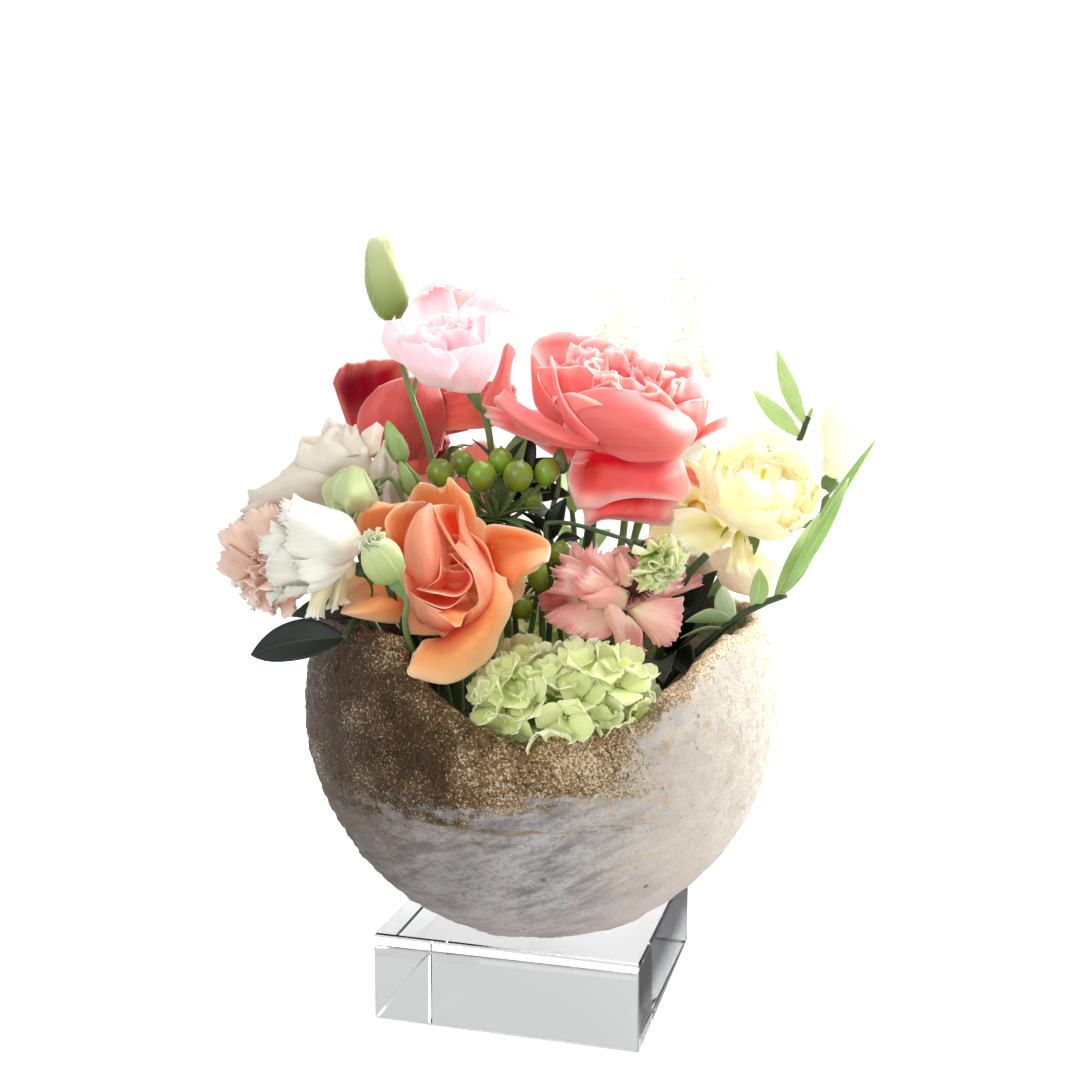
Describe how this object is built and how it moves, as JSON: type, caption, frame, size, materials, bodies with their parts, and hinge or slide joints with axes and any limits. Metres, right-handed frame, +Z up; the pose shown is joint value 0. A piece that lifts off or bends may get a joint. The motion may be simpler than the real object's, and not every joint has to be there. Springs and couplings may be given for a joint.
{
  "type": "flower arrangement in vase",
  "caption": "Mixed garden flowers, berries and leaves arranged in wet foam in a round gilded plaster bowl with a broken rim, on a clear square block.",
  "frame": {"origin": "centre of the clear block's underside, on the surface that it stands on", "axes": "+Z up, -Y towards the front, where the bowl's rim is broken low, +X to the viewer's right"},
  "size_m": [0.261, 0.2049, 0.3176],
  "materials": {
    "clear_acrylic": "clear, polished",
    "gilded_plaster": "rough plaster, gold leaf above and whitewash below",
    "wet_foam": "wet, porous",
    "orange_petal": "soft, satin",
    "coral_petal": "soft, satin",
    "red_petal": "soft, satin",
    "cream_petal": "soft, satin",
    "pink_petal": "soft, satin",
    "white_petal": "soft, satin",
    "peach_petal": "soft, matt",
    "blush_petal": "soft, matt",
    "pale_green_petal": "soft, satin",
    "butter_petal": "soft, satin",
    "lime_floret": "soft, matt",
    "maroon_eye": "matt",
    "stem": "satin",
    "hypericum": "satin",
    "leaf": "satin",
    "dark_leaf": "waxy"
  },
  "bodies": {
    "root": {"acrylic_block": "clear_acrylic", "gilded_bowl": "gilded_plaster", "wet_foam": "wet_foam", "orange_rose_petals": "orange_petal", "orange_rose_stem": "stem", "coral_rose_petals": "coral_petal", "coral_rose_stem": "stem", "red_rose_petals": "red_petal", "red_rose_stem": "stem", "cream_rose_petals": "cream_petal", "cream_rose_stem": "stem", "pink_lisianthus_petals": "pink_petal", "pink_lisianthus_stem": "stem", "white_lisianthus_petals": "white_petal", "white_lisianthus_stem": "stem", "peach_carnation_petals": "peach_petal", "peach_carnation_stem": "stem", "blush_lisianthus_petals": "blush_petal", "blush_lisianthus_eye": "maroon_eye", "blush_lisianthus_stem": "stem", "nodding_lisianthus_petals": "pale_green_petal", "nodding_lisianthus_stem": "stem", "tall_bud_petals": "pale_green_petal", "tall_bud_stem": "stem", "green_bud_petals": "pale_green_petal", "green_bud_stem": "stem", "ruffled_bud_petals": "pale_green_petal", "ruffled_bud_stem": "stem", "cream_ranunculus_petals": "butter_petal", "cream_ranunculus_stem": "stem", "butter_lisianthus_petals": "butter_petal", "butter_lisianthus_stem": "stem", "cream_tulip_petals": "cream_petal", "cream_tulip_stem": "stem", "peach_rose_petals": "peach_petal", "peach_rose_stem": "stem", "back_rose_petals": "coral_petal", "back_rose_stem": "stem", "back_lisianthus_petals": "white_petal", "back_lisianthus_stem": "stem", "bud_spray": "stem", "hydrangea_florets": "lime_floret", "hydrangea_stem": "stem", "back_hydrangea_florets": "lime_floret", "back_hydrangea_stem": "stem", "hypericum_upper": "hypericum", "hypericum_lower": "hypericum", "ruscus_right": "leaf", "ruscus_upper": "leaf", "back_ruscus": "leaf", "salal_left": "dark_leaf", "salal_right": "dark_leaf", "stock_left_florets": "white_petal", "stock_left_stem": "stem", "stock_right_florets": "white_petal", "stock_right_stem": "stem"}
  },
  "joints": []
}
